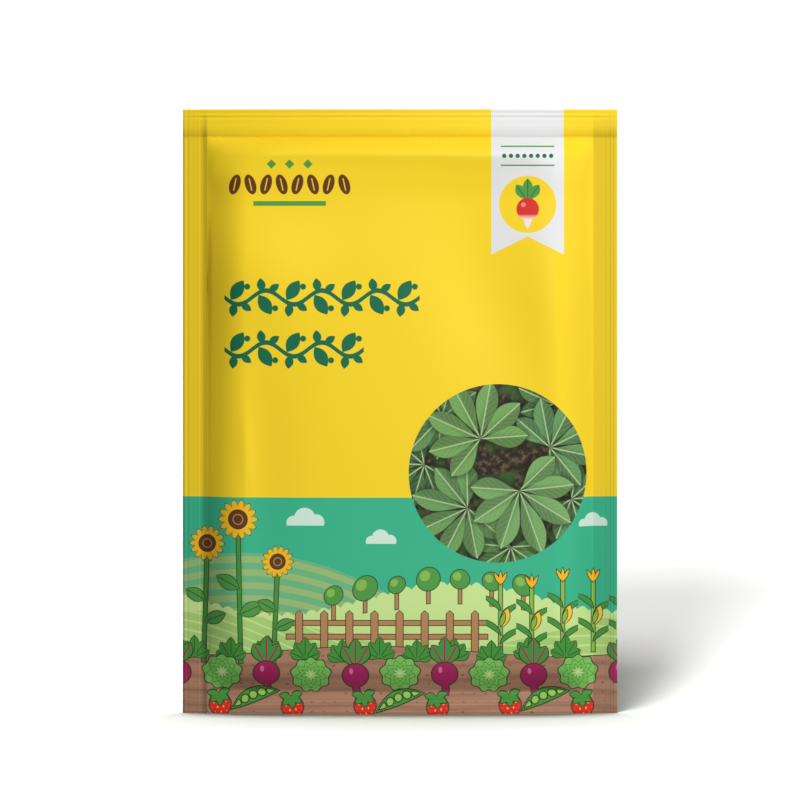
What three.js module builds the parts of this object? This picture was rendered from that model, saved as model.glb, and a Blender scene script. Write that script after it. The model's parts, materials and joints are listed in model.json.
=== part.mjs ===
// A sealed seed packet, in millimetres, with +Z up and its front facing -Y.
// Two webs of film are welded to each other along all four sides. Inside the welds they stand apart,
// and a dozen seeds lie loose between them, at the bottom. The packet stands on its lower edge as a
// bent card does, because it is bowed in plan: its middle is further forward than its side edges.

import * as THREE from 'three'

// Driving dimensions of the packet
const WIDTH = 100.8
const HEIGHT = 140
const SIDE_WELD = 5.6
const TOP_WELD = 6.5
const BOTTOM_WELD = 5.6
const BOW = 7
const LEAN_DEGREES = 1

// The film, and the hairline that is left between the webs in a weld
const FILM = 0.2
const WELD_GAP = 0.1

// How far each web stands off the middle surface, and how much more or less of it towards the sides.
// The front web is fuller there, which keeps its printed face nearly flat though the packet is bowed.
const FRONT = { name: 'front_film', towards: -1, swell: 4.6, sideFilling: 0.9 }
const BACK = { name: 'back_film', towards: 1, swell: 4.4, sideFilling: -0.12 }

// Width of the slope inside each weld, and how much thinner the packet gets towards its top
const SIDE_SLOPE = 9.5
const END_SLOPE = 6.2
const TOP_THINNING = 0.2

// Pressed ribs that run along each weld
const RIBS = 3
const RIB_HEIGHT = 0.15

// Cells of the webs' grid: in each slope, and across and up the field between the slopes
const SLOPE_CELLS = 3
const FIELD_CELLS_ACROSS = 10
const FIELD_CELLS_UP = 14

// Seeds: a flattened oval with a small knob, the caruncle, at one end
const SEED_LENGTH = 10.5
const SEED_WIDTH = 7
const SEED_THICKNESS = 5
const CARUNCLE = 0.16
const CARUNCLE_SPREAD = 0.45
const SEED_SIDES = 10
const SEED_RINGS = 8

// The seeds lie in two rows, the upper one in the gaps of the lower one
const SEED_PITCH = 11.6
const SEED_ROWS = [
  { count: 7, aboveWeld: 6 },
  { count: 5, aboveWeld: 13.2 },
]
const SEED_TURN_DEGREES = 10
const RANDOM_SEED = 7

const HALF_WIDTH = WIDTH / 2
const LEAN = Math.tan(THREE.MathUtils.degToRad(LEAN_DEGREES))

const filmFinish = { color: 0xfad935, roughness: 0.42, metalness: 0 }
const seedFinish = { color: 0x8d7a63, roughness: 0.5, metalness: 0 }

// The surface halfway between the webs
function middle(x, z) {
  return BOW * ((x / HALF_WIDTH) ** 2 - 1) + LEAN * z
}

// 0 in a weld, 1 past the slope beside it
function rise(distance, slope) {
  const share = THREE.MathUtils.clamp(distance / slope, 0, 1)
  return Math.sin(share * Math.PI / 2)
}

// How far a web stands off the middle surface: not at all on the welds
function standOff(web, x, z) {
  const sides = rise(HALF_WIDTH - SIDE_WELD - Math.abs(x), SIDE_SLOPE)
  const bottom = rise(z - BOTTOM_WELD, END_SLOPE)
  const top = rise(HEIGHT - TOP_WELD - z, END_SLOPE)
  const filling = 1 + web.sideFilling * (x / HALF_WIDTH) ** 2
  const thinning = 1 - TOP_THINNING * (z / HEIGHT) ** 2
  return web.swell * sides * bottom * top * filling * thinning
}

// 1 on the crest of a rib and 0 in a groove, at a distance from the outer edge of a weld
function crest(fromEdge, weld) {
  if (fromEdge >= weld) return 0
  return Math.round(fromEdge / weld * RIBS * 2) % 2
}

function ribRelief(x, z) {
  const side = crest(HALF_WIDTH - Math.abs(x), SIDE_WELD)
  const bottom = crest(z, BOTTOM_WELD)
  const top = crest(HEIGHT - z, TOP_WELD)
  return RIB_HEIGHT * Math.max(side, bottom, top)
}

// Even steps from start towards end, without end itself
function steps(start, end, count) {
  return Array.from({ length: count }, (_, n) => start + (end - start) * n / count)
}

// Grid lines over one direction of the packet: ribs, slope, field, slope, ribs
function gridLines(start, end, startWeld, endWeld, slope, fieldCells) {
  const first = start + startWeld
  const last = end - endWeld
  return [
    ...steps(start, first, RIBS * 2),
    ...steps(first, first + slope, SLOPE_CELLS),
    ...steps(first + slope, last - slope, fieldCells),
    ...steps(last - slope, last, SLOPE_CELLS),
    ...steps(last, end, RIBS * 2),
    end,
  ]
}

// The closed sheet between an inner and an outer face over a grid. towards is -1 where the outer face
// looks along -Y and 1 where it looks along +Y. Both faces are split into triangles alike.
function sheetGeometry(across, up, innerY, outerY, towards) {
  const positions = []
  for (const faceY of [innerY, outerY]) {
    for (const z of up) {
      for (const x of across) positions.push(x, faceY(x, z), z)
    }
  }

  const lastColumn = across.length - 1
  const lastRow = up.length - 1
  const outer = across.length * up.length
  const vertex = (column, row) => row * across.length + column
  const indices = []
  const triangle = (a, b, c) => indices.push(...(towards < 0 ? [a, b, c] : [a, c, b]))

  for (let row = 0; row < lastRow; row++) {
    for (let column = 0; column < lastColumn; column++) {
      const a = vertex(column, row)
      const b = vertex(column + 1, row)
      const c = vertex(column + 1, row + 1)
      const d = vertex(column, row + 1)
      const pointsToMiddle = (column < lastColumn / 2) === (row < lastRow / 2)
      const halves = pointsToMiddle ? [[a, b, c], [a, c, d]] : [[b, c, d], [b, d, a]]
      for (const [p, q, r] of halves) {
        triangle(p + outer, q + outer, r + outer)
        triangle(p, r, q)
      }
    }
  }

  const rim = []
  for (let column = 0; column < lastColumn; column++) rim.push(vertex(column, 0))
  for (let row = 0; row < lastRow; row++) rim.push(vertex(lastColumn, row))
  for (let column = lastColumn; column > 0; column--) rim.push(vertex(column, lastRow))
  for (let row = lastRow; row > 0; row--) rim.push(vertex(0, row))
  rim.forEach((p, n) => {
    const q = rim[(n + 1) % rim.length]
    triangle(q + outer, p + outer, p)
    triangle(q + outer, p, q)
  })

  const geometry = new THREE.BufferGeometry()
  geometry.setAttribute('position', new THREE.Float32BufferAttribute(positions, 3))
  geometry.setIndex(indices)
  geometry.computeVertexNormals()
  return geometry
}

// One web of film: it swells away from the middle surface, and its welds are ribbed outside
function makeWeb(web) {
  const across = gridLines(-HALF_WIDTH, HALF_WIDTH, SIDE_WELD, SIDE_WELD, SIDE_SLOPE, FIELD_CELLS_ACROSS)
  const up = gridLines(0, HEIGHT, BOTTOM_WELD, TOP_WELD, END_SLOPE, FIELD_CELLS_UP)
  const innerY = (x, z) => middle(x, z) + web.towards * (WELD_GAP / 2 + standOff(web, x, z))
  const outerY = (x, z) => innerY(x, z) + web.towards * (FILM + ribRelief(x, z))
  const geometry = sheetGeometry(across, up, innerY, outerY, web.towards)
  const mesh = new THREE.Mesh(geometry, new THREE.MeshStandardMaterial(filmFinish))
  mesh.name = web.name
  return mesh
}

// A seed that lies lengthways along X, with its caruncle at +X
function seedGeometry() {
  const geometry = new THREE.SphereGeometry(1, SEED_SIDES, SEED_RINGS)
  const position = geometry.attributes.position
  const point = new THREE.Vector3()
  for (let n = 0; n < position.count; n++) {
    point.fromBufferAttribute(position, n)
    const fromTip = Math.acos(THREE.MathUtils.clamp(point.y, -1, 1))
    point.multiplyScalar(1 + CARUNCLE * Math.exp(-((fromTip / CARUNCLE_SPREAD) ** 2)))
    position.setXYZ(n, point.x, point.y, point.z)
  }
  geometry.translate(0, -CARUNCLE / 2, 0)
  geometry.rotateZ(-Math.PI / 2)
  geometry.scale(SEED_LENGTH / (2 + CARUNCLE), SEED_THICKNESS / 2, SEED_WIDTH / 2)
  geometry.computeVertexNormals()
  return geometry
}

// Draws from 0 to 1 that are the same each time (mulberry32)
function randomDraws(seed) {
  let state = seed
  return () => {
    state = (state + 0x6d2b79f5) | 0
    let mixed = Math.imul(state ^ (state >>> 15), 1 | state)
    mixed ^= mixed + Math.imul(mixed ^ (mixed >>> 7), 61 | mixed)
    return ((mixed ^ (mixed >>> 14)) >>> 0) / 2 ** 32
  }
}

// The seeds lie midway between the webs, turned to follow the bow and each tipped a little its own way
function makeSeeds() {
  const draw = randomDraws(RANDOM_SEED)
  const seeds = []
  for (const row of SEED_ROWS) {
    for (let n = 0; n < row.count; n++) {
      const x = (n - (row.count - 1) / 2) * SEED_PITCH
      const z = BOTTOM_WELD + row.aboveWeld
      const y = middle(x, z) + (standOff(BACK, x, z) - standOff(FRONT, x, z)) / 2
      const bowSlope = 2 * BOW * x / HALF_WIDTH ** 2
      const facesRight = draw() < 0.5
      const tip = THREE.MathUtils.degToRad(SEED_TURN_DEGREES) * (2 * draw() - 1)
      const seed = new THREE.Mesh(seedGeometry(), new THREE.MeshStandardMaterial(seedFinish))
      seed.name = `seed_${String(seeds.length + 1).padStart(2, '0')}`
      seed.position.set(x, y, z)
      seed.rotation.set(0, tip + (facesRight ? 0 : Math.PI), Math.atan(bowSlope), 'ZYX')
      seeds.push(seed)
    }
  }
  return seeds
}

// The packet, moved so that its box stands centred on the origin
function makePacket() {
  const packet = new THREE.Group()
  packet.add(makeWeb(FRONT))
  packet.add(makeWeb(BACK))
  packet.add(...makeSeeds())
  const box = new THREE.Box3().setFromObject(packet, true)
  const centre = box.getCenter(new THREE.Vector3())
  packet.position.set(-centre.x, -centre.y, -box.min.z)
  return packet
}

const object = new THREE.Group()
object.add(makePacket())

export default object
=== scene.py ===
import json
import math

import bpy
import numpy as np
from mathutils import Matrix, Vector


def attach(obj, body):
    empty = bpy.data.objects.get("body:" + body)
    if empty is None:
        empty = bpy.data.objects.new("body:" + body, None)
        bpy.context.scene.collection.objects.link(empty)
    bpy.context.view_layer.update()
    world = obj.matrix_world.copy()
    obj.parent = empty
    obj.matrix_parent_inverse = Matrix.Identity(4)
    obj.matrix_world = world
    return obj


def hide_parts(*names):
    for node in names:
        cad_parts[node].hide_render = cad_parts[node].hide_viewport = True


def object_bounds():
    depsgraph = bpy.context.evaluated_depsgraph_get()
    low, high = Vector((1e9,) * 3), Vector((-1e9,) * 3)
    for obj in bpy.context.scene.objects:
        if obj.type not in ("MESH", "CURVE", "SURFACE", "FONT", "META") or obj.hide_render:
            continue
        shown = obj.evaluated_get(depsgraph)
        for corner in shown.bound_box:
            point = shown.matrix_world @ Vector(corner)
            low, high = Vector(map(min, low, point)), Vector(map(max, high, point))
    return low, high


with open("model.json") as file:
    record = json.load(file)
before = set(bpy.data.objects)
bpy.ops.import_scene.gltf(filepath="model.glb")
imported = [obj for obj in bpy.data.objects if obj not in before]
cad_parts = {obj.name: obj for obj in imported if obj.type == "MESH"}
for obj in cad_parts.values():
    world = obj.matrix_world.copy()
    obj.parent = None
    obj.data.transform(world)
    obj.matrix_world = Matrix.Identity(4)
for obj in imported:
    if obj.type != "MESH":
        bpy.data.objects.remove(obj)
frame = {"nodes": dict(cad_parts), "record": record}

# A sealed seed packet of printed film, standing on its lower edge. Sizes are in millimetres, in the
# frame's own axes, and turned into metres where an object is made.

CAD_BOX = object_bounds()
MM = 0.001

# Sizes from the frame
WIDTH = (CAD_BOX[1].x - CAD_BOX[0].x) / MM
HEIGHT = (CAD_BOX[1].z - CAD_BOX[0].z) / MM
HALF_WIDTH = WIDTH / 2
BASE_Y = frame["record"]["mounts"][0]["pos_m"][1] / MM

# Sizes that repeat those of the solids
SIDE_WELD = 5.6
TOP_WELD = 6.5
BOTTOM_WELD = 5.6
BOW = 7.0
LEAN = math.tan(math.radians(1.0))
SOLID_FILM = 0.2
SOLID_WELD_GAP = 0.1
FRONT_SWELL = 4.6
BACK_SWELL = 4.4
FRONT_SIDE_FILLING = 0.9
BACK_SIDE_FILLING = -0.12
SIDE_SLOPE = 9.5

# The ends of the swell are shaped more finely than in the solids. The bottom rises in two parts, a share of
# it in a slope and the rest over a longer reach, and the side slopes widen towards the top corners.
TOP_SLOPE = 4.6
TOP_THINNING = 0.34
BOTTOM_SLOPE = 6.5
BOTTOM_SHARE = 0.42
BOTTOM_REACH = 20.0
CORNER_SOFTENING = 14.0
CORNER_REACH = 5.0

# The real film is thinner than the solid one, and its two webs touch in the welds
FILM = 0.12
WELD_GAP = 0.01

# Steps of the webs' grid
WELD_STEP = 0.14
SLOPE_STEP = 0.45
FIELD_STEP = 1.2
SHARP_ANGLE = math.radians(50)

# Pressed lines of the welds: distance from the packet's edge, depth and half width. Where the depth is
# below 0 the line is raised.
LEFT_LINES = [
    (1.05, 0.13, 0.2),
    (2.35, 0.035, 0.18),
    (3.2, 0.035, 0.18),
    (4.1, 0.06, 0.18),
    (4.75, 0.08, 0.2),
]
RIGHT_LINES = [(0.7, -0.13, 0.18), (1.45, -0.13, 0.18), (5.5, 0.06, 0.2)]
RIGHT_LINES += [(at, 0.04, 0.16) for at in (2.4, 3.15, 3.9, 4.65)]
TOP_LINES = [(0.8, 0.12, 0.25), (1.9, 0.16, 0.25)]
BOTTOM_LINES = [(at, 0.05, 0.2) for at in (0.9, 1.7, 2.5, 3.3)] + [(5.2, 0.1, 0.3)]

# The top weld curls back towards its inner edge, and the bottom one at its outer edge
TOP_CURL_START = 4.6
TOP_CURL_DEPTH = 0.42
BOTTOM_CURL = 0.25
BOTTOM_CURL_WIDTH = 0.4

# Step beside the left weld: where it starts from the edge, its width, its height, and how soon it fades
LEDGE_START = 5.0
LEDGE_WIDTH = 1.3
LEDGE_HEIGHT = 0.45
LEDGE_FADE = 6.0
LEDGE_END_SLOPE = 12.0

# The lines fade out where the welds cross: over this distance, down to this share
CROSSING = 5.0
CROSSING_SHARE = 0.55

# The cut edges roll back a little
EDGE_ROLL = 0.06
EDGE_ROLL_WIDTH = 0.3

# Soft folds of the webs: centre, half width, half length, degrees from upright, and height, which is below
# 0 for a valley. They have their full height where the web has this share of its swell.
FRONT_FOLDS = [
    ((-31, 101), 12, 13, 6, 1.5),
    ((35, 93), 5.5, 24, 3, 1.1),
    ((19, 98), 10, 19, 8, -1.8),
    ((-34, 56), 9, 26, 0, -1.5),
    ((-35.4, 60), 1.7, 10, 2, 0.4),
    ((-8, 62), 16, 18, -20, 0.2),
    ((4, 30), 20, 7, -8, 0.2),
]
BACK_FOLDS = [
    ((-14, 92), 6, 26, -9, -0.4),
    ((18, 58), 5, 24, 12, -0.35),
    ((0, 118), 26, 5, 3, -0.35),
]
FOLDS_FULL_AT = 0.25

# A ridge and, below it, a valley run across the front web near its top. The ridge drops towards the right,
# and its waves have a height, a length and a phase. The valley's lower side widens towards the right.
RIDGE_Z = 131.1
RIDGE_HEIGHT = 0.7
RIDGE_WIDTH = 2.8
RIDGE_DROP = 0.9
RIDGE_DROP_AT = -15
RIDGE_DROP_OVER = 12
RIDGE_WAVES = [(0.3, 8.5, 2.2), (0.15, 3.7, 0.0)]
VALLEY_Z = 119
VALLEY_DEPTH = 0.75
VALLEY_WAVE_SHARE = 0.2
VALLEY_WAVE_LENGTH = 7.5
VALLEY_UPPER_WIDTH = 5.5
VALLEY_LOWER_WIDTH = 9
VALLEY_WIDENING = 7
VALLEY_WIDENS_AT = -6
VALLEY_WIDENS_OVER = 6

# Bands of painted shade over the welds, darker along their pressed lines and inner edges: from and to, in
# millimetres from the packet's edge, and the share of the light that is kept
PAST_EDGE = -1.0
LEFT_SHADE_BANDS = [
    (PAST_EDGE, SIDE_WELD, 0.89),
    (PAST_EDGE, 0.4, 0.72),
    (4.4, 5.7, 0.76),
    (5.05, 5.7, 0.84),
]
RIGHT_SHADE_BANDS = [
    (PAST_EDGE, SIDE_WELD, 0.83),
    (1.65, SIDE_WELD, 0.94),
    (1.35, 1.7, 0.82),
    (0.7, 0.95, 0.78),
    (2.5, 2.75, 0.9),
]
TOP_SHADE_BANDS = [
    (PAST_EDGE, TOP_WELD, 0.98),
    (4.1, TOP_WELD, 0.96),
    (4.8, TOP_WELD, 0.96),
    (5.65, TOP_WELD, 0.94),
]
BOTTOM_SHADE_BANDS = [(PAST_EDGE, BOTTOM_WELD, 0.95)]
SHADE_BAND_SOFTNESS = 0.25

# Colours, as they look in print
YELLOW = (252, 217, 43)
TEAL = (62, 184, 142)
CREAM = (250, 244, 222)
DARK_GREEN = (30, 112, 78)

# Finishes, as inputs of the shader
FLOOR_PALE = (0.86, 0.86, 0.86, 1.0)
FILM_FINISH = {"Roughness": 0.5, "Specular IOR Level": 0.1, "Coat Weight": 0.03, "Coat Roughness": 0.25}
FLOOR_FINISH = {"Base Color": FLOOR_PALE, "Roughness": 0.9, "Specular IOR Level": 0.0}


def linear(colour):
    """A print colour of 0 to 255 as the linear colour that a shader takes."""
    shares = [channel / 255 for channel in colour]
    return tuple(s / 12.92 if s < 0.04045 else ((s + 0.055) / 1.055) ** 2.4 for s in shares) + (1.0,)


# Form of the webs

def middle(x, z):
    """The surface halfway between the webs: bowed in plan, and leaning back a little."""
    front = BASE_Y + (SOLID_WELD_GAP + SOLID_FILM) / 2
    return front + BOW * (x / HALF_WIDTH) ** 2 + LEAN * z


def rise(distance, slope):
    """0 in a weld, 1 past the slope beside it."""
    return np.sin(np.clip(distance / slope, 0, 1) * math.pi / 2)


def fullness(x, z, side_filling):
    """0 on the welds, and about 1 where the packet is fullest."""
    from_side = HALF_WIDTH - SIDE_WELD - np.abs(x)
    from_bottom = z - BOTTOM_WELD
    from_top = HEIGHT - TOP_WELD - z
    side_slope = SIDE_SLOPE + CORNER_SOFTENING * np.exp(-((from_top / CORNER_REACH) ** 2))
    sides = rise(from_side, side_slope) * (1 + side_filling * (x / HALF_WIDTH) ** 2)
    steep = BOTTOM_SHARE * rise(from_bottom, BOTTOM_SLOPE)
    gentle = (1 - BOTTOM_SHARE) * rise(from_bottom, BOTTOM_REACH)
    ends = (steep + gentle) * rise(from_top, TOP_SLOPE)
    return sides * ends * (1 - TOP_THINNING * (z / HEIGHT) ** 2)


def weld_relief(x, z):
    """How far the pressed lines, the curls and the rolled edges push both webs back."""
    from_left = HALF_WIDTH + x
    from_right = HALF_WIDTH - x
    from_top = HEIGHT - z
    from_side = np.minimum(from_left, from_right)
    from_end = np.minimum(from_top, z)
    relief = EDGE_ROLL * np.exp(-((np.minimum(from_side, from_top) / EDGE_ROLL_WIDTH) ** 2))
    relief += BOTTOM_CURL * np.exp(-((z / BOTTOM_CURL_WIDTH) ** 2))
    curl = np.clip((from_top - TOP_CURL_START) / (TOP_WELD - TOP_CURL_START), 0, 1) ** 2
    relief += np.where(from_top < TOP_WELD, TOP_CURL_DEPTH * curl, 0)
    for distance, lines, weld, from_crossing in (
        (from_left, LEFT_LINES, SIDE_WELD, from_end),
        (from_right, RIGHT_LINES, SIDE_WELD, from_end),
        (from_top, TOP_LINES, TOP_WELD, from_side),
        (z, BOTTOM_LINES, BOTTOM_WELD, from_side),
    ):
        pressed = sum(depth * np.exp(-((distance - at) / width) ** 2) for at, depth, width in lines)
        kept = np.clip(from_crossing / CROSSING, CROSSING_SHARE, 1)
        relief += np.where(distance < weld, pressed * kept, 0)
    return relief


def ledge(x, z):
    """How far the front web steps up right beside the left weld."""
    from_left = HALF_WIDTH + x
    step = np.clip((from_left - LEDGE_START) / LEDGE_WIDTH, 0, 1)
    past = np.maximum(from_left - LEDGE_START - LEDGE_WIDTH, 0)
    ends = rise(z - BOTTOM_WELD, LEDGE_END_SLOPE) * rise(HEIGHT - TOP_WELD - z, LEDGE_END_SLOPE)
    return LEDGE_HEIGHT * step * step * (3 - 2 * step) * np.exp(-past / LEDGE_FADE) * ends


def fold(x, z, centre, half_width, half_length, degrees, height):
    """A soft ridge, or a valley where height is negative, turned by degrees from upright."""
    turn = math.radians(degrees)
    dx = x - centre[0]
    dz = z - centre[1]
    across = dx * math.cos(turn) + dz * math.sin(turn)
    along = dz * math.cos(turn) - dx * math.sin(turn)
    return height * np.exp(-((across / half_width) ** 2) - (along / half_length) ** 2)


def ridge(x, z):
    ridge_z = RIDGE_Z - RIDGE_DROP * np.tanh((x - RIDGE_DROP_AT) / RIDGE_DROP_OVER)
    for height, length, phase in RIDGE_WAVES:
        ridge_z = ridge_z + height * np.sin(x / length + phase)
    return RIDGE_HEIGHT * np.exp(-(((z - ridge_z) / RIDGE_WIDTH) ** 2))


def valley(x, z):
    widening = VALLEY_WIDENING / (1 + np.exp(-(x - VALLEY_WIDENS_AT) / VALLEY_WIDENS_OVER))
    width = np.where(z > VALLEY_Z, VALLEY_UPPER_WIDTH, VALLEY_LOWER_WIDTH + widening)
    waves = 1 + VALLEY_WAVE_SHARE * np.sin(x / VALLEY_WAVE_LENGTH)
    return VALLEY_DEPTH * np.exp(-(((z - VALLEY_Z) / width) ** 2)) * waves


def front_folds(x, z):
    """Soft folds of the front web, which the light picks out."""
    folds = ledge(x, z) + ridge(x, z) - valley(x, z)
    for one in FRONT_FOLDS:
        folds += fold(x, z, *one)
    return folds


def back_folds(x, z):
    return sum(fold(x, z, *one) for one in BACK_FOLDS)


def grid_lines(stretches):
    """Places of grid lines over stretches of (start, end, step)."""
    lines = []
    for start, end, step in stretches:
        count = max(2, round((end - start) / step) + 1)
        lines.append(np.linspace(start, end, count)[:-1])
    return np.concatenate(lines + [[stretches[-1][1]]])


def web_grid():
    """The grid that both webs share, finest in the welds."""
    side = HALF_WIDTH - SIDE_WELD
    side_field = side - SIDE_SLOPE
    across = grid_lines([
        (-HALF_WIDTH, -side, WELD_STEP),
        (-side, -side_field, SLOPE_STEP),
        (-side_field, side_field, FIELD_STEP),
        (side_field, side, SLOPE_STEP),
        (side, HALF_WIDTH, WELD_STEP),
    ])
    bottom_field = BOTTOM_WELD + BOTTOM_SLOPE
    top = HEIGHT - TOP_WELD
    up = grid_lines([
        (0, BOTTOM_WELD, WELD_STEP),
        (BOTTOM_WELD, bottom_field, SLOPE_STEP),
        (bottom_field, top - TOP_SLOPE, FIELD_STEP),
        (top - TOP_SLOPE, top, SLOPE_STEP),
        (top, HEIGHT, WELD_STEP),
    ])
    return np.meshgrid(across, up)


def grid_faces(rows, columns):
    """Faces over a grid of points that are numbered row by row."""
    number = np.arange(columns * rows).reshape(rows, columns)
    corners = [number[:-1, :-1], number[:-1, 1:], number[1:, 1:], number[1:, :-1]]
    return np.stack(corners, axis=-1).reshape(-1, 4)


def sheet_faces(rows, columns):
    """Faces of a closed sheet whose outer face looks along -Y: both faces and the edge between them."""
    number = np.arange(columns * rows).reshape(rows, columns)
    inner = grid_faces(rows, columns)
    outer = inner + columns * rows
    rim = np.concatenate([number[0, :-1], number[:-1, -1], number[-1, :0:-1], number[:0:-1, 0]])
    following = np.roll(rim, -1)
    edge = np.stack([following + columns * rows, rim + columns * rows, rim, following], axis=-1)
    return np.concatenate([inner[:, ::-1], outer, edge])


def smooth_mesh(name, points, faces):
    mesh = bpy.data.meshes.new(name)
    mesh.from_pydata(points, [], faces)
    mesh.polygons.foreach_set("use_smooth", [True] * len(faces))
    return mesh


def web_mesh(name, towards, swell, side_filling, folds):
    """One web as a closed sheet. towards is -1 for the front web and 1 for the back one."""
    x, z = web_grid()
    full = fullness(x, z, side_filling)
    stand_off = WELD_GAP / 2 + swell * full + folds(x, z) * np.clip(full / FOLDS_FULL_AT, 0, 1)
    centre = middle(x, z) + weld_relief(x, z)
    faces_y = [centre + towards * stand_off, centre + towards * (stand_off + FILM)]
    points = np.concatenate([np.stack([x, y, z], axis=-1).reshape(-1, 3) for y in faces_y])
    faces = sheet_faces(*x.shape)
    if towards > 0:
        faces = faces[:, ::-1]
    mesh = smooth_mesh(name, (points * MM).tolist(), faces.tolist())
    mesh.set_sharp_from_angle(angle=SHARP_ANGLE)
    mesh.validate()
    return mesh


def add_object(name, mesh, material):
    piece = bpy.data.objects.new(name, mesh)
    bpy.context.scene.collection.objects.link(piece)
    mesh.materials.append(material)
    return piece


# Numbers that vary over a surface

class Field:
    """A number that varies over a surface, as a socket of a node tree. Arithmetic on it adds nodes."""

    def __init__(self, tree, socket):
        self.tree = tree
        self.socket = socket

    def math(self, operation, *others, clamp=False):
        node = self.tree.nodes.new("ShaderNodeMath")
        node.operation = operation
        node.use_clamp = clamp
        for value, socket in zip((self, *others), node.inputs):
            give(self.tree, value, socket)
        return Field(self.tree, node.outputs[0])

    def __add__(self, other):
        return self.math("ADD", other)

    def __sub__(self, other):
        return self.math("SUBTRACT", other)

    def __rsub__(self, other):
        return self.math("MULTIPLY_ADD", -1.0, other)

    def __mul__(self, other):
        return self.math("MULTIPLY", other)

    def __truediv__(self, other):
        return self.math("DIVIDE", other)

    def __neg__(self):
        return self.math("MULTIPLY", -1.0)


def give(tree, value, socket):
    """Links a field to an input, or sets a plain number or colour on it."""
    if isinstance(value, Field):
        tree.links.new(value.socket, socket)
    else:
        socket.default_value = value


def clamped(a, factor=1.0):
    """A field times a factor, kept from 0 to 1."""
    return a.math("MULTIPLY", factor, clamp=True)


def size_of(a):
    return a.math("ABSOLUTE")


def larger(a, b):
    return a.math("MAXIMUM", b)


def smaller(a, b):
    return a.math("MINIMUM", b)


def hypotenuse(a, b):
    return (a * a + b * b).math("SQRT")


def cell(a, pitch, start=0.0):
    """Cuts a direction into cells of one pitch, from start. Returns the place within a cell, from -pitch/2
    to pitch/2, and the number of the cell."""
    number = ((a - start) / pitch).math("FLOOR")
    local = a - start - (number + 0.5) * pitch
    return local, number


CHANNEL_STEP = 17.3


def draw(number, channel):
    """A random number from 0 to 1 for a cell. Each channel gives other numbers."""
    node = number.tree.nodes.new("ShaderNodeTexWhiteNoise")
    node.noise_dimensions = "1D"
    give(number.tree, number + CHANNEL_STEP * channel, node.inputs["W"])
    return Field(number.tree, node.outputs["Value"])


# Shapes, as distances in millimetres from their outline: below 0 inside and above 0 outside

def disc(x, z, centre_x, centre_z, radius):
    return hypotenuse(x - centre_x, z - centre_z) - radius


def bar(x, z, centre_x, centre_z, half_width, half_height):
    return larger(size_of(x - centre_x) - half_width, size_of(z - centre_z) - half_height)


def turned(x, z, centre_x, centre_z, degrees):
    """Coordinates along and across a direction that is turned by degrees from +X."""
    cosine = math.cos(math.radians(degrees))
    sine = math.sin(math.radians(degrees))
    dx = x - centre_x
    dz = z - centre_z
    return dx * cosine + dz * sine, dz * cosine - dx * sine


def blade(along, across, length, half_width):
    """A pointed leaf that starts at along = 0."""
    return size_of(across) - along * (length - along) * (4 * half_width / length**2)


def spread(x, z, centre, direction, spacing, reach, length, half_width, fullest=1.0, taper=0.0):
    """Blades that spread from a centre: one along direction, and reach more on each side of it, spacing
    degrees apart. fullest is 1 for blades that are widest halfway, and more for ones widest near the tip.
    taper shortens the outer blades. Returns the distance, and the place along and across a blade."""
    gap = math.radians(spacing)
    dx = x - centre[0]
    dz = z - centre[1]
    angle = dz.math("ARCTAN2", dx).math("SUBTRACT", math.radians(direction)).math("WRAP", math.pi, -math.pi)
    number = smaller(larger((angle / gap).math("ROUND"), -reach), reach)
    off = angle - number * gap
    radius = hypotenuse(dx, dz)
    along = radius * off.math("COSINE")
    across = radius * off.math("SINE")
    share = along / length
    if taper:
        share = share / (1 - size_of(number) * taper)
    peak = fullest**fullest / (fullest + 1) ** (fullest + 1)
    width = larger(share, 0.0).math("POWER", fullest) * (1 - share) * (half_width / peak)
    return larger(size_of(across) - width, -along), along, across


EDGE_SOFTNESS = 0.1


def inside(distance, softness=EDGE_SOFTNESS):
    """1 inside a shape and 0 outside, with a soft edge of that width."""
    return distance.math("MULTIPLY_ADD", -1 / softness, 0.5, clamp=True)


# Sockets of a colour Mix node
MIX_SHARE = 0
MIX_BELOW = 6
MIX_ABOVE = 7
MIX_RESULT = 2


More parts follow.
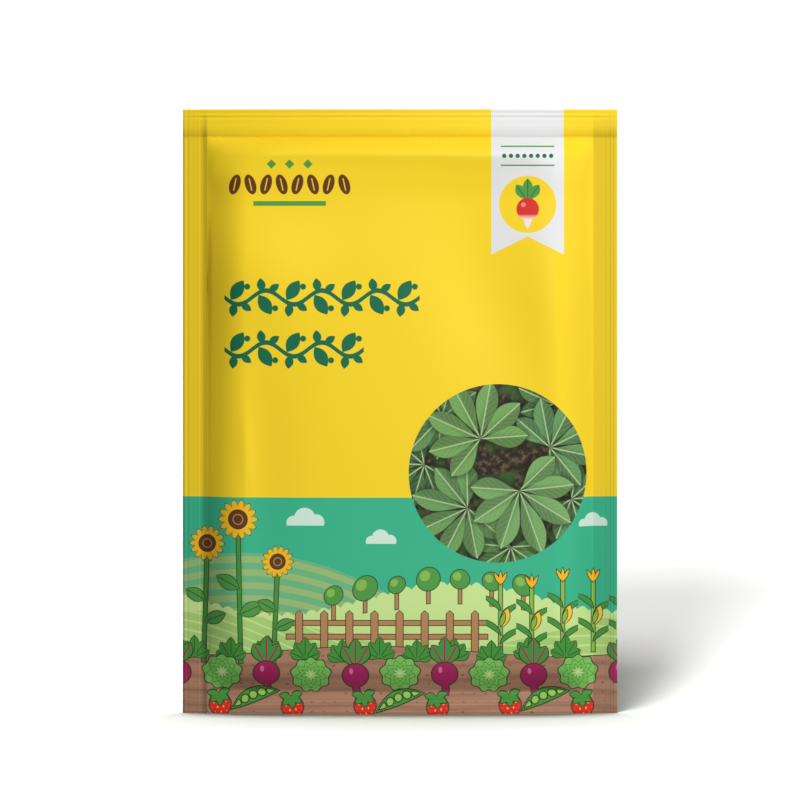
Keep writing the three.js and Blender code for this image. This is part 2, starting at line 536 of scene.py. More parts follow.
class Picture:
    """A print, painted from the ground up."""

    def __init__(self, tree, x, z, ground):
        self.tree = tree
        self.x = x
        self.z = z
        self.colour = ground

    def layer(self, ground):
        """A picture of its own over the same place."""
        return Picture(self.tree, self.x, self.z, linear(ground))

    def part(self, paint, *details):
        """Paints one part of the print in a node group of its own, named after the function."""
        group = bpy.data.node_groups.new(paint.__name__, "ShaderNodeTree")
        sockets = {"X": "NodeSocketFloat", "Z": "NodeSocketFloat", "Ground": "NodeSocketColor"}
        for name, kind in sockets.items():
            group.interface.new_socket(name, in_out="INPUT", socket_type=kind)
        group.interface.new_socket("Painted", in_out="OUTPUT", socket_type="NodeSocketColor")
        entry = group.nodes.new("NodeGroupInput")
        inner = Picture(group, *[Field(group, entry.outputs[name]) for name in sockets])
        paint(inner, *details)
        give(group, inner.colour, group.nodes.new("NodeGroupOutput").inputs["Painted"])
        node = self.tree.nodes.new("ShaderNodeGroup")
        node.node_tree = group
        for value, name in zip((self.x, self.z, self.colour), sockets):
            give(self.tree, value, node.inputs[name])
        self.colour = Field(self.tree, node.outputs["Painted"])

    def mix(self, share, colour, blend_type):
        node = self.tree.nodes.new("ShaderNodeMix")
        node.data_type = "RGBA"
        node.blend_type = blend_type
        give(self.tree, share, node.inputs[MIX_SHARE])
        give(self.tree, self.colour, node.inputs[MIX_BELOW])
        give(self.tree, colour, node.inputs[MIX_ABOVE])
        self.colour = Field(self.tree, node.outputs[MIX_RESULT])

    def blend(self, share, colour):
        """Lays a print colour, or a field of colour, over the print by a share, a field from 0 to 1."""
        self.mix(share, colour if isinstance(colour, Field) else linear(colour), "MIX")

    def paint_shade(self, share, kept):
        """Paints shade over the print by a share, a field from 0 to 1. Where that is 1, kept is the light
        left.
        """
        self.mix(share, (kept, kept, kept, 1.0), "MULTIPLY")

    def paint(self, distance, colour, within=None):
        share = inside(distance)
        self.blend(share if within is None else share * within, colour)

    def outlined(self, distance, colour, within=None):
        """A filled shape with a thin dark outline."""
        self.paint(distance - OUTLINE, INK, within)
        self.paint(distance, colour, within)


def coordinate_fields(tree, output):
    """X, Y and Z of a texture coordinate."""
    coordinates = tree.nodes.new("ShaderNodeTexCoord")
    split = tree.nodes.new("ShaderNodeSeparateXYZ")
    tree.links.new(coordinates.outputs[output], split.inputs[0])
    return [Field(tree, split.outputs[axis]) for axis in "XYZ"]


def noise_field(tree, scale, detail):
    """Noise from 0 to 1, with features of about 1/scale metres."""
    coordinates = tree.nodes.new("ShaderNodeTexCoord")
    node = tree.nodes.new("ShaderNodeTexNoise")
    node.inputs["Scale"].default_value = scale
    node.inputs["Detail"].default_value = detail
    tree.links.new(coordinates.outputs["Object"], node.inputs["Vector"])
    return Field(tree, node.outputs["Fac"])


def patches(tree, scale, detail, contrast, threshold, strength=1.0):
    """Scattered patches, from 0 to 1. A strength below 1 makes them weaker."""
    return clamped(noise_field(tree, scale, detail) * contrast - threshold, strength)


# The print of the front: a landscape with crops in the lower part, a round picture of foliage, a banner,
# a border of leaves and a row of seeds on plain yellow

INK = (58, 66, 34)
OUTLINE = 0.2
BORDER_Z = 50.3

HILL_DARK = (112, 186, 132)
HILL_LIGHT = (156, 192, 122)
HILL_PALE = (205, 234, 150)
HILL_MID = (176, 216, 124)
CLOUD = (214, 238, 222)
TREE_GREEN = (84, 158, 74)
WOOD = (186, 138, 92)
SOIL = (180, 136, 108)
SOIL_DARK = (144, 102, 82)
LEAF_GREEN = (74, 152, 66)
LEAF_LIGHT = (140, 190, 84)
CORN_YELLOW = (250, 206, 60)
PETAL = (252, 190, 34)
SEED_BROWN = (104, 62, 34)
BEET = (170, 44, 98)
BEET_LIGHT = (222, 120, 160)
BERRY = (222, 52, 44)
PEA = (150, 206, 92)
LETTUCE = (128, 196, 96)
LETTUCE_HEART = (206, 232, 150)

# Clouds have x, z and a size. Sunflowers have x, z of the foot and of the head, its radius, and a lean.
CLOUDS = [(-22, 44.5, 2.6), (-4.5, 40.2, 2.1), (44.6, 44, 2.0)]
SUNFLOWERS = [(-45.5, 12, 39.5, 3.9, -0.03), (-36.8, 12, 45.2, 4.4, 0.02), (-29.2, 12, 35.5, 3.5, -0.04)]

# What repeats across the landscape: pitch, and where the first cell starts
TREES = (7.3, -19)
FENCE_POSTS = (5.8, -26.2)
CORN_PLANTS = (7.2, 19.6)
TUFTS = (8.6, -52)

# Crops in the soil come out this much larger than their numbers say
CROP_SIZE = 1.4


def paint_cloud(sky, centre_x, centre_z, size):
    puffs = [(-1.0, 0.0, 0.62), (0.0, 0.38, 0.95), (1.05, 0.05, 0.7)]
    shape = None
    for dx, dz, radius in puffs:
        puff = disc(sky.x, sky.z, centre_x + dx * size, centre_z + dz * size, radius * size)
        shape = puff if shape is None else smaller(shape, puff)
    sky.paint(larger(shape, centre_z - 0.25 * size - sky.z), CLOUD)


def skyline(x):
    """The waves of the middle hill, from -1 to 1."""
    return (x / 13 + 0.6).math("SINE")


def paint_hills(land):
    """A striped hill far off, one edged with bushes, and a near one planted in rows."""
    x = land.x
    z = land.z
    far = z - 37.5 + (x + 36) * (x + 36) * 0.0085
    land.paint(far, HILL_DARK)
    stripe, _ = cell(far, 3.0)
    land.paint(larger(size_of(stripe) - 0.75, far), HILL_LIGHT)
    bushes = (x * 1.15).math("SINE").math("ABSOLUTE") * 0.9
    middle_hill = z - 26.5 - skyline(x) * 3.6 - bushes
    land.paint(middle_hill, HILL_PALE)
    near = z - 19.5 - ((x + 44) / 17).math("COSINE") * 4.2
    land.paint(near, HILL_MID)
    row, _ = cell(near + x * 0.25, 2.2)
    land.paint(larger(size_of(row) - 0.22, near), HILL_PALE)


def paint_trees(land):
    local, number = cell(land.x, *TREES)
    size = draw(number, 1) * 0.9 + 1.9
    crown_z = size * 0.6 + 27.8 + skyline(land.x) * 2.4
    extent = inside(bar(land.x, land.z, 6.5, 30, 25.5, 12))
    trunk = larger(size_of(local) - 0.35, size_of(land.z - crown_z + 3) - 2.6)
    land.outlined(trunk, WOOD, extent)
    crown = hypotenuse(local, land.z - crown_z) - size
    land.outlined(crown, TREE_GREEN, extent)
    light = hypotenuse(local + size * 0.3, land.z - crown_z - size * 0.3) - size * 0.45
    land.paint(light, LEAF_LIGHT, extent)


def paint_fence(land):
    z = land.z
    ends = size_of(land.x + 3) - 23.2
    for rail_z in (18.2, 21.4):
        land.outlined(larger(size_of(z - rail_z) - 0.5, ends), WOOD)
    local, _ = cell(land.x, *FENCE_POSTS)
    tip = size_of(local) * 0.9 + z - 24.2
    post = larger(larger(size_of(local) - 0.75, tip), 14 - z)
    land.outlined(larger(post, ends), WOOD)


def paint_soil(land):
    x = land.x
    z = land.z
    top = z - 14.6 - (x / 15 + 2).math("SINE") * 1.3
    land.outlined(top, SOIL)
    furrow, _ = cell(z + (x / 7).math("SINE") * 0.5, 3.4)
    land.blend(inside(larger(size_of(furrow) - 0.5, top + 0.6), 0.9) * 0.55, SOIL_DARK)
    clod_x, column = cell(x, 2.7)
    clod_z, row = cell(z, 2.2)
    chance = draw(column + row * 31.0, 2)
    clod = hypotenuse(clod_x + chance - 0.5, (clod_z + chance * 0.7) * 1.7) - chance * 0.45
    land.paint(larger(clod, top + 0.8), SOIL_DARK)


def paint_sunflower(land, centre_x, foot_z, head_z, radius, lean):
    """A stem with two leaves, and a head of petals round a brown disc."""
    x = land.x + (land.z - foot_z) * lean
    z = land.z
    length = head_z - foot_z
    land.outlined(bar(x, z, centre_x, foot_z + length / 2, 0.42, length / 2), LEAF_GREEN)
    for direction, share in ((24, 0.34), (152, 0.52)):
        along, across = turned(x, z, centre_x, foot_z + length * share, direction)
        leaf = blade(along, across, radius * 1.35, radius * 0.36)
        land.outlined(leaf, TREE_GREEN)
        land.paint(larger(size_of(across) - 0.09, leaf + 0.25), INK)
    dx = x - centre_x
    dz = z - head_z
    out = hypotenuse(dx, dz)
    petals = (dz.math("ARCTAN2", dx) * 7).math("COSINE").math("ABSOLUTE")
    land.outlined(out - petals * (0.34 * radius) - 0.68 * radius, PETAL)
    land.outlined(out - 0.48 * radius, SEED_BROWN)
    land.paint(size_of(out - 0.26 * radius) - 0.12, WOOD)


def paint_corn(land):
    """A row of corn at the right, with two leaves on each side, a cob and a tassel."""
    local, number = cell(land.x, *CORN_PLANTS)
    rows = inside(bar(land.x, land.z, 35, 22, 15.2, 14))
    z = land.z - draw(number, 3) * 2.4 - 12.4
    land.outlined(bar(local, z, 0, 8.5, 0.4, 8.5), LEAF_LIGHT, rows)
    bend = 0.075
    for direction, height, length in ((58, 2.5, 6.4), (122, 4.6, 6.4), (60, 8.2, 5.6), (120, 10.2, 5.2)):
        along, across = turned(local, z, 0, height, direction)
        droop = along * along * (bend if direction < 90 else -bend)
        land.outlined(blade(along, across + droop, length, 0.62), LEAF_GREEN, rows)
    along, across = turned(local, z, 0.5, 6.4, 74)
    land.outlined(blade(along, across, 4.4, 0.95), CORN_YELLOW, rows)
    land.outlined(blade(along, across - 0.45, 3.2, 0.5), LEAF_LIGHT, rows)
    tassel, _, _ = spread(local, z, (0, 16.2), 90, 28, 1, 3.0, 0.34)
    land.outlined(tassel, PETAL, rows)


def paint_tufts(land):
    """A row of leafy plants along the top of the soil."""
    local, number = cell(land.x, *TUFTS)
    rows = inside(bar(land.x, land.z, -4, 16, 46, 9))
    foot = draw(number, 4) * 1.6 + 11.8
    leaves, _, across = spread(local, land.z - foot, (0, 0), 90, 33, 2, 5.0, 1.05, 1.5, 0.12)
    land.outlined(leaves, LEAF_GREEN, rows)
    land.paint(larger(size_of(across) - 0.08, leaves + 0.3), INK, rows)


def row_of(land, pitch, start, foot_z, height):
    """Place in a cell, height above the row, and mask of the row, for crops that repeat along the soil. The
    first two are measured in CROP_SIZE millimetres."""
    local, number = cell(land.x, pitch, start)
    z = land.z - foot_z - draw(number, 5) * 0.9
    row = inside(size_of(land.z - foot_z - height * CROP_SIZE / 2) - height * CROP_SIZE / 2 - 1.5)
    return local / CROP_SIZE, z / CROP_SIZE, row


def paint_beets(land, pitch, start, foot_z):
    local, z, row = row_of(land, pitch, start, foot_z, 9)
    leaves, _, across = spread(local, z, (0, 3.4), 90, 30, 1, 4.9, 1.0, 1.7, 0.15)
    land.outlined(leaves, LEAF_GREEN, row)
    land.paint(larger(size_of(across) - 0.14, leaves + 0.2), BEET, row)
    along, across = turned(local, z, 0, 1.4, -84)
    tail = blade(along, across, 3.4, 0.5)
    bulb = hypotenuse(local * 0.92, z - 2.2) - 1.9
    land.outlined(smaller(bulb, tail), BEET, row)
    land.paint(hypotenuse((local + 0.7) * 1.6, z - 2.9) - 0.5, BEET_LIGHT, row)


def paint_lettuce(land, pitch, start, foot_z):
    local, z, row = row_of(land, pitch, start, foot_z, 7)
    up = z - 2.6
    out = hypotenuse(local, up * 1.15)
    angle = up.math("ARCTAN2", local)
    frill = (angle * 9).math("SINE") * 0.22
    land.outlined(out - frill - 3.1, LETTUCE, row)
    ring = out + frill * 1.6
    for radius in (2.2, 1.3):
        land.paint(size_of(ring - radius) - 0.1, LEAF_GREEN, row)
    land.paint(ring - 0.6, LETTUCE_HEART, row)


def paint_berries(land, pitch, start, foot_z):
    local, z, row = row_of(land, pitch, start, foot_z, 6)
    along, across = turned(local, z, 0, 4.2, -82)
    fruit = blade(along + 0.9, across, 5.0, 1.75)
    land.outlined(larger(fruit, -along), BERRY, row)
    pip_x, _ = cell(across + (along * 1.2).math("FLOOR") * 0.5, 1.0)
    pip_z, _ = cell(along, 0.84)
    land.paint(larger(hypotenuse(pip_x * 1.4, pip_z) - 0.17, fruit + 0.3), CORN_YELLOW, row)
    cap, _, _ = spread(local, z, (0, 4.3), -82, 52, 2, 1.9, 0.5)
    land.outlined(cap, LEAF_GREEN, row)


def paint_pods(land, pitch, start, foot_z):
    local, z, row = row_of(land, pitch, start, foot_z, 6)
    along, across = turned(local, z, -4.0, 1.0, 22)
    bow = (along - 4.2) * (along - 4.2) * 0.05
    pod = blade(along, across + bow - 0.5, 8.4, 1.15)
    land.outlined(pod, LEAF_GREEN, row)
    pea, _ = cell(along, 1.5, 0.45)
    peas = larger(hypotenuse(pea, across + bow - 0.5) - 0.58, pod + 0.35)
    land.outlined(peas, PEA, row)


def paint_landscape(picture):
    land = picture.layer(TEAL)
    for cloud in CLOUDS:
        land.part(paint_cloud, *cloud)
    for paint in (paint_hills, paint_trees, paint_fence, paint_soil):
        land.part(paint)
    for sunflower in SUNFLOWERS:
        land.part(paint_sunflower, *sunflower)
    for paint in (paint_corn, paint_tufts):
        land.part(paint)
    for paint, pitch, start, foot_z in (
        (paint_beets, 20.6, -41.2, 5.8),
        (paint_lettuce, 20.6, -51.5, 5.4),
        (paint_pods, 33.6, -50.4, -0.6),
        (paint_berries, 16.8, -50.4, -2.2),
    ):
        land.part(paint, pitch, start, foot_z)
    picture.blend(inside(picture.z - BORDER_Z), land.colour)


# Round picture of foliage. Each leaf has a place from the picture's centre, a direction, the length of its
# longest blade, and a green.

PICTURE_CENTRE = (22.6, 55.9)
PICTURE_RADIUS = 20.6
LITTER_DARK = (44, 42, 30)
LITTER_BROWN = (112, 86, 68)
UNDERGROWTH = (58, 92, 48)
LEAF_SHADOW = (22, 34, 18)
VEIN = (176, 206, 150)
LEAVES = [
    ((-17, 2), 215, 11.5, (78, 118, 70)),
    ((13, 16), 80, 11.0, (84, 128, 78)),
    ((3, -17), 250, 11.0, (88, 134, 74)),
    ((17, -6), -35, 12.0, (92, 136, 88)),
    ((-13, 13), 150, 13.5, (98, 146, 86)),
    ((-7, -8), 205, 14.5, (112, 160, 94)),
    ((12, 6), 25, 14.0, (106, 154, 98)),
    ((5, -4), -70, 15.5, (124, 172, 104)),
    ((-4, 8), 118, 15.0, (118, 166, 92)),
]


def paint_palmate_leaf(picture, centre, direction, length, green):
    """A leaf of seven pointed blades, over a soft shadow of its own."""
    place = (PICTURE_CENTRE[0] + centre[0], PICTURE_CENTRE[1] + centre[1])
    leaf, along, across = spread(
        picture.x, picture.z, place, direction, spacing=38, reach=3, length=length,
        half_width=length * 0.17, fullest=1.7, taper=0.09
    )
    picture.blend(inside(leaf - 0.5, 2.2) * 0.75, LEAF_SHADOW)
    shade = tuple(round(channel * 0.76) for channel in green)
    picture.paint(leaf, shade)
    lit = smaller(larger(across * 0.6 + along * (0.9 / length), 0.1), 1.0)
    picture.blend(inside(leaf + 0.1) * lit, green)
    ribs, _ = cell(along - size_of(across) * 1.3, 1.5)
    picture.blend(inside(larger(size_of(ribs) - 0.06, leaf + 0.25), 0.2) * 0.35, VEIN)
    picture.blend(inside(size_of(across) - 0.14, 0.16) * inside(leaf), VEIN)


def paint_round_picture(picture):
    shown = disc(picture.x, picture.z, *PICTURE_CENTRE, PICTURE_RADIUS)
    foliage = picture.layer(LITTER_DARK)
    foliage.blend(patches(picture.tree, 900, 3, contrast=5, threshold=2.3), LITTER_BROWN)
    foliage.blend(patches(picture.tree, 260, 2, contrast=7, threshold=3.4, strength=0.8), UNDERGROWTH)
    for centre, direction, length, green in LEAVES:
        foliage.part(paint_palmate_leaf, centre, direction, length, green)
    picture.blend(inside(shown), foliage.colour)


# Banner with a radish

BANNER_X = 29.5
BANNER_HALF_WIDTH = 8.4
BANNER_END = 106.4
BANNER_WHITE = (232, 232, 232)
BADGE_CENTRE = (BANNER_X, 118.0)
BADGE_RADIUS = 6.6
RADISH_TIP = (250, 232, 226)
RADISH_LIGHT = (244, 140, 128)
RULES_Z = (131.4, 127.0)
RULE_HALF_LENGTH = 6.2
DOTS_Z = 129.2
DOT_PITCH = 1.55
DOT_RADIUS = 0.5


def paint_banner(picture):
    x = picture.x
    z = picture.z
    dx = size_of(x - BANNER_X)
    notch = BANNER_END + 4.2 - dx * 0.5 - z
    picture.paint(larger(dx - BANNER_HALF_WIDTH, notch), BANNER_WHITE)
    picture.paint(disc(x, z, *BADGE_CENTRE, BADGE_RADIUS), YELLOW)
    paint_radish(picture)
    for rule_z in RULES_Z:
        picture.paint(bar(x, z, BANNER_X, rule_z, RULE_HALF_LENGTH, 0.16), LEAF_GREEN)
    dot, _ = cell(x, DOT_PITCH, BANNER_X - RULE_HALF_LENGTH)
    dots = larger(hypotenuse(dot, z - DOTS_Z) - DOT_RADIUS, dx - RULE_HALF_LENGTH)
    picture.paint(dots, DARK_GREEN)


def paint_radish(picture):
    x = picture.x
    z = picture.z
    centre_x, centre_z = BADGE_CENTRE
    leaves, _, across = spread(x, z, (centre_x, centre_z + 0.6), 90, 34, 1, 5.4, 1.15, 1.6, 0.12)
    picture.paint(leaves, TREE_GREEN)
    picture.paint(larger(size_of(across) - 0.1, leaves + 0.25), DARK_GREEN)
    along, across = turned(x, z, centre_x, centre_z - 2.2, -90)
    tail = blade(along + 1.0, across, 4.6, 0.9)
    bulb = disc(x, z, centre_x, centre_z - 1.1, 2.6)
    root = smaller(bulb, tail)
    picture.paint(root, BERRY)
    picture.blend(inside(root) * inside(z - centre_z + 2.9, 1.2), RADISH_TIP)
    picture.paint(disc(x, z, centre_x - 1.0, centre_z - 0.1, 0.55), RADISH_LIGHT)


# Border of leaves, in two rows

LEAF_PITCH = 6.45
BORDER_LEFT = -40.6
BORDER_FOOT = 78.5
BORDER_ROW = 12.0
LEAVES_IN_LOWER_ROW = 5
MORE_IN_UPPER_ROW = 2


def paint_leaf_border(picture):
    local_z, row = cell(picture.z, BORDER_ROW, BORDER_FOOT)
    local_x, number = cell(picture.x, LEAF_PITCH, BORDER_LEFT)
    parity = number.math("FLOORED_MODULO", 2.0) * 2 - 1
    stem = local_z - parity * (local_x * (math.pi / LEAF_PITCH)).math("COSINE") * 1.6
    shape = size_of(stem) - 0.55
    up = local_z * parity
    for start_x, start_z, direction, length, half_width in (
        (-1.7, 0.6, -57, 5.4, 1.5),
        (-0.9, 1.3, 98, 3.2, 1.0),
        (0.6, 1.3, 36, 3.0, 0.85),
    ):
        along, across = turned(local_x, up, start_x, start_z, direction)
        shape = smaller(shape, blade(along, across, length, half_width))
    berry = hypotenuse(local_x - 2.1, up + 2.5) - 0.7
    shape = smaller(shape, berry)
    width = (row * MORE_IN_UPPER_ROW + LEAVES_IN_LOWER_ROW) * LEAF_PITCH
    rows = inside(larger(size_of(row - 0.5) - 0.6, picture.x - BORDER_LEFT - width))
    rows = rows * inside(BORDER_LEFT - picture.x)
    picture.paint(shape, DARK_GREEN, rows)


# Row of seed marks over a bar, with lozenges above it

ROW_X = -25.5
ROW_Z = 122.6
ROW_HALF_LENGTH = 14.6
MARK_PITCH = 3.62
MARK_START = -40
MARK_HALF_WIDTH = 1.3
MARK_HALF_HEIGHT = 2.3
MARK_TILT = 0.22
ROW_BAR_Z = 118.2
ROW_BAR_HALF_SIZE = (8.4, 0.55)
LOZENGE_Z = 127.3
LOZENGE_PITCH = 4.2
LOZENGE_START = -31.8
LOZENGE_REACH = 1.1
LOZENGES_REACH = 6.2


def paint_seed_row(picture):
    from_middle = size_of(picture.x - ROW_X)
    local, number = cell(picture.x, MARK_PITCH, MARK_START)
    tilt = (number.math("FLOORED_MODULO", 2.0) * 2 - 1) * MARK_TILT
    z = picture.z - ROW_Z
    across = local + z * tilt
    marks = (hypotenuse(across / MARK_HALF_WIDTH, z / MARK_HALF_HEIGHT) - 1) * MARK_HALF_WIDTH
    extent = inside(from_middle - ROW_HALF_LENGTH)
    picture.paint(marks, SEED_BROWN, extent)
    picture.paint(larger(size_of(across) - 0.13, marks + 0.5), YELLOW, extent)
    picture.paint(bar(picture.x, picture.z, ROW_X, ROW_BAR_Z, *ROW_BAR_HALF_SIZE), TREE_GREEN)
    lozenge, _ = cell(picture.x, LOZENGE_PITCH, LOZENGE_START)
    lozenges = size_of(lozenge) + size_of(picture.z - LOZENGE_Z) - LOZENGE_REACH
    picture.paint(larger(lozenges, from_middle - LOZENGES_REACH), TREE_GREEN)


def paint_front(picture):
    for paint in (paint_leaf_border, paint_seed_row, paint_banner, paint_landscape, paint_round_picture):
        picture.part(paint)


# Back: the same two grounds, and a bare cream panel with a rule round it and a strip of months

PANEL_Z = 70
PANEL_HALF_WIDTH = 35
PANEL_HALF_HEIGHT = 48
PANEL_MARGIN = 1.1
PANEL_RULE = 0.5
MONTH_PITCH = 5
MONTHS_Z = 104
MONTHS_HALF_LENGTH = 30
MONTH_HALF_SIZE = 2.1
MONTH_FRAME = 0.4
SOWING_MONTH = 4
SOWING_REACH = 2.5


def paint_back(picture):
    picture.paint(picture.z - BORDER_Z, TEAL)
    panel = bar(picture.x, picture.z, 0, PANEL_Z, PANEL_HALF_WIDTH, PANEL_HALF_HEIGHT)
    picture.paint(panel - PANEL_MARGIN - PANEL_RULE, DARK_GREEN)
    picture.paint(panel - PANEL_MARGIN, CREAM)
    month_x, month = cell(picture.x, MONTH_PITCH, -MONTHS_HALF_LENGTH)
    squares = larger(size_of(month_x), size_of(picture.z - MONTHS_Z)) - MONTH_HALF_SIZE
    strip = larger(squares, size_of(picture.x) - MONTHS_HALF_LENGTH)
    picture.paint(strip, TEAL)
    sown = size_of(month - SOWING_MONTH) - SOWING_REACH
    picture.paint(larger(strip + MONTH_FRAME, sown), YELLOW)


def paint_weld_shade(picture):
    """Painted shade over the welds, in bands along their edges and pressed lines. It fades out of the side
    welds near the top.
    """
    below_top = inside(picture.z - HEIGHT + TOP_WELD / 2, TOP_WELD)
    for from_edge, bands, fade in (
        (picture.x + HALF_WIDTH, LEFT_SHADE_BANDS, below_top),
        (HALF_WIDTH - picture.x, RIGHT_SHADE_BANDS, below_top),
        (HEIGHT - picture.z, TOP_SHADE_BANDS, 1.0),
        (picture.z, BOTTOM_SHADE_BANDS, 1.0),
    ):
        for start, end, kept in bands:
            band = size_of(from_edge - (start + end) / 2) - (end - start) / 2
            picture.paint_shade(inside(band, SHADE_BAND_SOFTNESS) * fade, kept)


def new_material(name, finish):
    """A material, its node tree and its shader, with the shader's inputs set to a finish."""
    material = bpy.data.materials.new(name)
    material.use_nodes = True
    tree = material.node_tree
    shader = tree.nodes["Principled BSDF"]
    for socket, value in finish.items():
        shader.inputs[socket].default_value = value
    return material, tree, shader


def film_material(name, paint):
    """Satin printed film, with its print painted by a function."""
    material, tree, shader = new_material(name, FILM_FINISH)
    x, _, z = coordinate_fields(tree, "Object")
    picture = Picture(tree, x * (1 / MM), z * (1 / MM), linear(YELLOW))
    paint(picture)
    # Painted shade over the welds
    picture.part(paint_weld_shade)
    give(tree, picture.colour, shader.inputs["Base Color"])
    return material


def make_web(name, node, mesh, material):
    web = add_object(name, mesh, material)
    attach(web, "root")
    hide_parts(node)


FRONT_MESH = web_mesh("front_web", -1, FRONT_SWELL, FRONT_SIDE_FILLING, front_folds)
BACK_MESH = web_mesh("back_web", 1, BACK_SWELL, BACK_SIDE_FILLING, back_folds)
make_web("front_web", "front_film", FRONT_MESH, film_material("front_print", paint_front))
make_web("back_web", "back_film", BACK_MESH, film_material("back_print", paint_back))


# Seeds: flattened ovals with a keel along both faces and a knob, the caruncle, at one end

SEED_COUNT = 12
SEED_SHAPE = (10.5, 5.0, 7.0)
SEED_RINGS = 40
SEED_SIDES = 56

# Relief of a unit seed. Angles are in radians from the tip of the caruncle.
CARUNCLE = 0.1
CARUNCLE_ANGLE = 0.42
NECK = 0.05
NECK_ANGLE = 0.62
NECK_WIDTH = 0.16
KEEL = 0.035
KEEL_SHARPNESS = 12
BLUNTNESS = 0.92

# Colours of the coat, and its mottles: noise scale and detail, contrast, threshold and colour
SEED_GROUND = (168, 148, 122)
SEED_MOTTLES = [
    (700, 4, 6, 2.6, (112, 88, 64)),
    (1600, 3, 9, 5.0, (58, 42, 32)),
    (2600, 2, 10, 6.2, (206, 192, 166)),
]


def seed_points():
    """A unit seed along X, ring by ring from its tip, with one point at each end."""
    polar = np.linspace(0, math.pi, SEED_RINGS + 1)[1:-1]
    turn = np.arange(SEED_SIDES) * 2 * math.pi / SEED_SIDES
    polar, turn = np.meshgrid(polar, turn, indexing="ij")
    knob = CARUNCLE * np.exp(-((polar / CARUNCLE_ANGLE) ** 4))
    knob -= NECK * np.exp(-(((polar - NECK_ANGLE) / NECK_WIDTH) ** 2))
    keel = KEEL * np.abs(np.sin(turn)) ** KEEL_SHARPNESS * np.sin(polar)
    radius = (1 + knob + keel) * np.sin(polar) ** BLUNTNESS
    along = np.cos(polar) * (1 + knob)
    rings = np.stack([along, radius * np.sin(turn), radius * np.cos(turn)], axis=-1)
    return np.concatenate([[[1 + CARUNCLE, 0, 0]], rings.reshape(-1, 3), [[-1, 0, 0]]])


def seed_faces():
    """Quads between the rings of a seed, and a fan of triangles at each end."""
    rings = SEED_RINGS - 1
    number = np.arange(rings * SEED_SIDES).reshape(rings, SEED_SIDES) + 1
    after = np.roll(number, -1, axis=1)
    last = rings * SEED_SIDES + 1
    caps = [[0, int(b), int(a)] for a, b in zip(number[0], after[0])]
    caps += [[last, int(a), int(b)] for a, b in zip(number[-1], after[-1])]
    sides = np.stack([number[:-1], after[:-1], after[1:], number[1:]], axis=-1).reshape(-1, 4)
    return caps + sides.tolist()


def seed_material():
    """Grey-brown, mottled darker, with small pale flecks."""
    material, tree, shader = new_material("seed_coat", {})
    coat = Picture(tree, None, None, linear(SEED_GROUND))
    for scale, detail, contrast, threshold, colour in SEED_MOTTLES:
        coat.blend(patches(tree, scale, detail, contrast, threshold), colour)
    give(tree, coat.colour, shader.inputs["Base Color"])
    give(tree, noise_field(tree, 900, 3) * 0.25 + 0.28, shader.inputs["Roughness"])
    return material


def seed_place(name):
    """Middle and axes of a solid seed: its length, towards the caruncle, its thickness and its width."""
    points = np.array([vertex.co for vertex in frame["nodes"][name].data.vertices]) / MM
    centre = points.mean(axis=0)
    _, _, (length, width, _) = np.linalg.svd(points - centre, full_matrices=False)
    reach = (points - centre) @ length
    if reach.max() < -reach.min():
        length = -length
    along = points @ length
    shift = length * ((along.max() + along.min()) / 2 - centre @ length)
    return centre + shift, np.stack([length, np.cross(width, length), width])


def make_seed(name, material):
    """A fine seed in the place of the solid one, along the same axes."""
    centre, axes = seed_place(name)
    unit = seed_points()
    low, high = unit.min(axis=0), unit.max(axis=0)
    shaped = (unit - (low + high) / 2) / (high - low) * np.array(SEED_SHAPE)
    mesh = smooth_mesh(name, ((shaped @ axes + centre) * MM).tolist(), seed_faces())
    seed = add_object(name.replace("seed", "fine_seed"), mesh, material)
    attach(seed, "root")
    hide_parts(name)


SEED_COAT = seed_material()
for seed_number in range(1, SEED_COUNT + 1):
    make_seed(f"seed_{seed_number:02d}", SEED_COAT)


# Studio. The floor behind the packet rises gently and catches its long shadow, and the floor in front
# catches the short one. They meet where the packet stands, and each has lights of its own.

# Brightness of the world, as the camera sees it and as it lights the packet from each side. The last two
# set how fast and how far back the front's brightness gives way to the back's.
WORLD_SEEN = 1.0
WORLD_BACK = 0.15
WORLD_FRONT = 0.13
WORLD_RIGHT = 0.12
WORLD_LEAST = 0.12
WORLD_OVERHEAD = 0.15
WORLD_TURN = 3
WORLD_TURN_START = 0.2

# The floor, in metres: how far it reaches, where its level part and its bend end, and its rise for each
# metre past the bend
FLOOR_REACH = 8.0
FLAT_END = 0.02
BEND_END = 0.09
FLOOR_RISE = 0.2126
BEND_STEPS = 12
SEAM_STEPS = 12

# Where the lights look, and how far off the suns stand, in metres
LIGHT_CENTRE = Vector((0, 0, HEIGHT / 2 * MM))
SUN_DISTANCE = 2.0


def floor_height(y):
    """Level up to FLAT_END, then a bend, and a straight rise from BEND_END on."""
    bend = BEND_END - FLAT_END
    into = min(max(y - FLAT_END, 0.0), bend)
    return FLOOR_RISE * (into * into / (2 * bend) + max(y - BEND_END, 0.0))


def floor_material():
    """Pale and matt. Its underside is clear, so that the rise hides nothing from behind."""
    material, tree, shader = new_material("floor", FLOOR_FINISH)
    side = tree.nodes.new("ShaderNodeNewGeometry")
    mix = tree.nodes.new("ShaderNodeMixShader")
    clear = tree.nodes.new("ShaderNodeBsdfTransparent")
    tree.links.new(side.outputs["Backfacing"], mix.inputs[0])
    tree.links.new(shader.outputs[0], mix.inputs[1])
    tree.links.new(clear.outputs[0], mix.inputs[2])
    tree.links.new(mix.outputs[0], tree.nodes["Material Output"].inputs["Surface"])
    return material


def seam_y(x):
    """Under the middle of the packet's lower edge, in metres, and straight on past its ends."""
    packet_x = min(abs(x) / MM, HALF_WIDTH)
    return (middle(packet_x, 0) + BOTTOM_CURL) * MM


def floor_point(x, y):
    """A point of the floor. Where y is None it lies on the seam."""
    if y is None:
        return (x, seam_y(x), 0)
    return (x, y, floor_height(y))


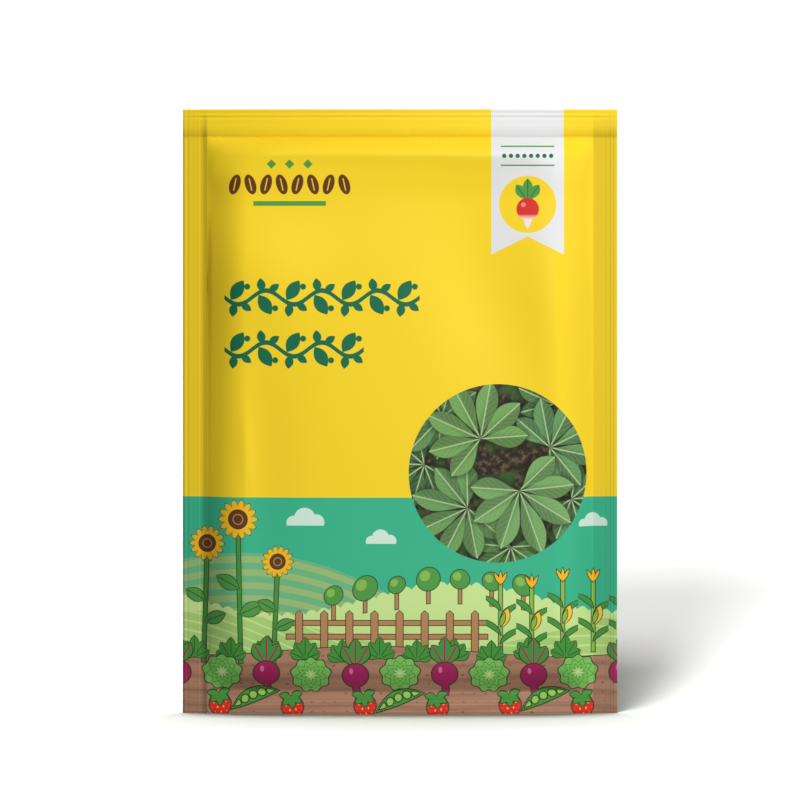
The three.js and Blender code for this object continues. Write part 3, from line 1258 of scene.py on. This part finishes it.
def make_floor(name, depths, material):
    """A strip of floor over rows at some depths. A depth of None is the seam."""
    half = HALF_WIDTH * MM
    across = [-FLOOR_REACH, *np.linspace(-half, half, SEAM_STEPS + 1), FLOOR_REACH]
    points = [floor_point(x, y) for y in depths for x in across]
    mesh = smooth_mesh(name, points, grid_faces(len(depths), len(across)).tolist())
    floor = add_object(name, mesh, material)
    floor.visible_diffuse = False
    floor.visible_glossy = False
    floor.visible_shadow = False
    return floor


def collection_of(name, pieces):
    """The pieces that a light falls on, and no others."""
    collection = bpy.data.collections.new(name)
    for piece in pieces:
        collection.objects.link(piece)
    return collection


def direction_of(azimuth, elevation):
    """The unit vector towards a light. Azimuth 0 is in front and 90 at the right, in degrees."""
    a = math.radians(azimuth)
    e = math.radians(elevation)
    return Vector((math.sin(a) * math.cos(e), -math.cos(a) * math.cos(e), math.sin(e)))


def add_light(data, azimuth, elevation, distance, lit):
    away = direction_of(azimuth, elevation)
    light = bpy.data.objects.new(data.name, data)
    light.location = LIGHT_CENTRE + away * distance
    light.rotation_euler = away.to_track_quat("Z", "Y").to_euler()
    light.light_linking.receiver_collection = lit
    bpy.context.scene.collection.objects.link(light)


def make_light(name, azimuth, elevation, distance, size, power, lit):
    """A square soft light that looks at the packet."""
    data = bpy.data.lights.new(name, "AREA")
    data.size = size
    data.energy = power
    add_light(data, azimuth, elevation, distance, lit)


def make_floor_light(name, azimuth, elevation, width_degrees, power, lit):
    """A far soft light, which is even over the whole floor."""
    data = bpy.data.lights.new(name, "SUN")
    data.angle = math.radians(width_degrees)
    data.energy = power
    add_light(data, azimuth, elevation, SUN_DISTANCE, lit)


def make_world():
    """Dim all round, a little brighter at the right and overhead. The camera sees it as white."""
    world = bpy.data.worlds.new("studio")
    bpy.context.scene.world = world
    world.use_nodes = True
    tree = world.node_tree
    background = tree.nodes["Background"]
    right, back, up = coordinate_fields(tree, "Generated")
    front_level = larger(right * WORLD_RIGHT + WORLD_FRONT, WORLD_LEAST)
    share = clamped(back * WORLD_TURN - WORLD_TURN_START)
    level = front_level + share * (WORLD_BACK - front_level)
    overhead = larger(up, 0.0)
    level = level + overhead * overhead * WORLD_OVERHEAD
    seen = Field(tree, tree.nodes.new("ShaderNodeLightPath").outputs["Is Camera Ray"])
    level = level + seen * (WORLD_SEEN - level)
    tree.links.new(level.socket, background.inputs["Color"])


def make_camera():
    """Low in front, far off with a long lens, so that the packet's edges stay straight. The first three
    values are in pixels of the photo, and place the packet as it is there."""
    photo_side = 800
    packet_pixels = 605
    centre_row = 411.8
    lens = 400
    sensor = 36
    elevation = math.radians(1.2)
    pixel = HEIGHT / packet_pixels * MM
    distance = photo_side * pixel * lens / sensor
    target = Vector((0, 0, HEIGHT / 2 * MM + (centre_row - photo_side / 2) * pixel))
    away = Vector((0, -math.cos(elevation), math.sin(elevation)))
    data = bpy.data.cameras.new("camera")
    data.lens = lens
    data.sensor_width = sensor
    camera = bpy.data.objects.new("camera", data)
    camera.location = target + away * distance
    camera.rotation_euler = away.to_track_quat("Z", "Y").to_euler()
    bpy.context.scene.collection.objects.link(camera)
    bpy.context.scene.camera = camera


PACKET = collection_of("packet", [piece for piece in bpy.context.scene.objects if piece.type == "MESH"])
PALE = floor_material()
BACK_DEPTHS = [None, *np.linspace(FLAT_END, BEND_END, BEND_STEPS + 1), FLOOR_REACH]
FLOOR_BEHIND = collection_of("floor_behind", [make_floor("floor_behind", BACK_DEPTHS, PALE)])
FLOOR_IN_FRONT = collection_of("floor_in_front", [make_floor("floor_in_front", [-FLOOR_REACH, None], PALE)])
make_world()
make_light("key", azimuth=14, elevation=26, distance=1.2, size=0.5, power=12.1, lit=PACKET)
make_light("side", azimuth=80, elevation=12, distance=0.9, size=0.5, power=1.4, lit=PACKET)
make_light("back", azimuth=168, elevation=38, distance=1.4, size=0.6, power=16, lit=PACKET)
for cast, azimuth, elevation, width_degrees, power in (
    ("cast_low", -15, 31.5, 13, 2.15),
    ("cast_middle", -12, 45, 10, 0.4),
    ("cast_high", -8.5, 54, 13, 1.9),
):
    make_floor_light(cast, azimuth, elevation, width_degrees, power, FLOOR_BEHIND)
for cast, elevation, width_degrees, power in (("above", 86, 10, 1.8), ("behind", 66, 44, 1.75)):
    make_floor_light(cast, 180, elevation, width_degrees, power, FLOOR_IN_FRONT)
make_camera()
bpy.context.scene.view_settings.view_transform = "Standard"
